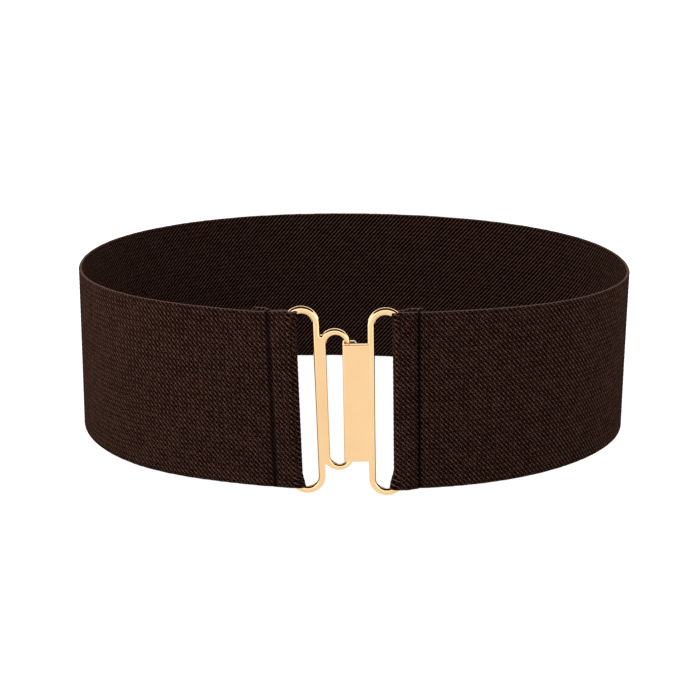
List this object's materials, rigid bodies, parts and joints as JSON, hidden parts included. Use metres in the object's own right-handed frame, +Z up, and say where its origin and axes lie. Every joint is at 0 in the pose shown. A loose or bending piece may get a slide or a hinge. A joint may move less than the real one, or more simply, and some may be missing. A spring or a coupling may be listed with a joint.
{
  "type": "wide elastic stretch belt with a hook clasp",
  "caption": "Wide elastic stretch belt, a closed oval standing on its lower edge, fastened in front by a metal loop-and-hook clasp.",
  "frame": {"origin": "middle of the belt's footprint, on the surface that it stands on", "axes": "+Z up out of the waist opening, -Y towards the clasp at the front, +X to the right of someone facing the clasp"},
  "size_m": [0.2498, 0.1978, 0.0808],
  "materials": {
    "dark_elastic": "very dark brown woven elastic, matte, with fine lengthwise ribs",
    "pale_gold": "polished pale gold plating on a zinc casting"
  },
  "bodies": {
    "root": {"elastic_band": "dark_elastic", "loop_half": "pale_gold", "hook_half": "pale_gold"}
  },
  "joints": []
}
